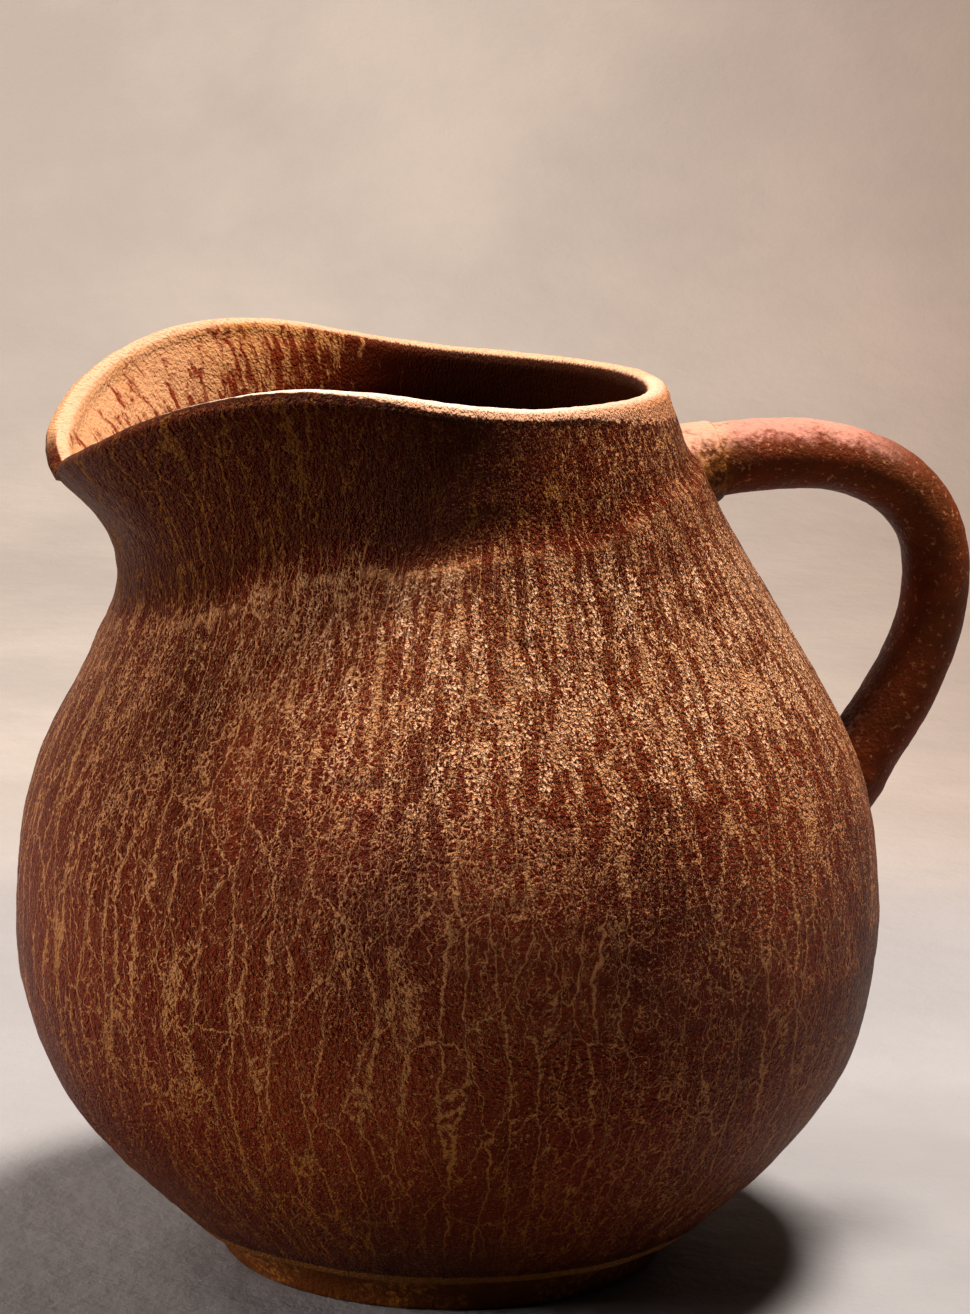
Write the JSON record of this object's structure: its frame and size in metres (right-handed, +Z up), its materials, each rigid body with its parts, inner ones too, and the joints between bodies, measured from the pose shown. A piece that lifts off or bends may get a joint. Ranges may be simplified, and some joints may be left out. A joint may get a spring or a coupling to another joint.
{
  "type": "terracotta jug",
  "caption": "Round-bellied clay pouring jug with a wide flared mouth, a pulled spout, a low foot ring and a looped handle behind.",
  "frame": {"origin": "centre of the foot ring's underside, on the surface that the jug stands on", "axes": "+Z up along the belly's axis, -X towards the spout, +X towards the handle, Y across"},
  "size_m": [0.246, 0.22, 0.2329],
  "materials": {
    "slipped_clay": "matte, grainy, with fine ochre veins",
    "bare_clay": "matte",
    "handle_clay": "matte, smooth"
  },
  "bodies": {
    "root": {"foot_ring": "bare_clay", "belly": "slipped_clay", "neck_and_spout": "slipped_clay", "handle_collar": "bare_clay", "handle": "handle_clay"}
  },
  "joints": []
}
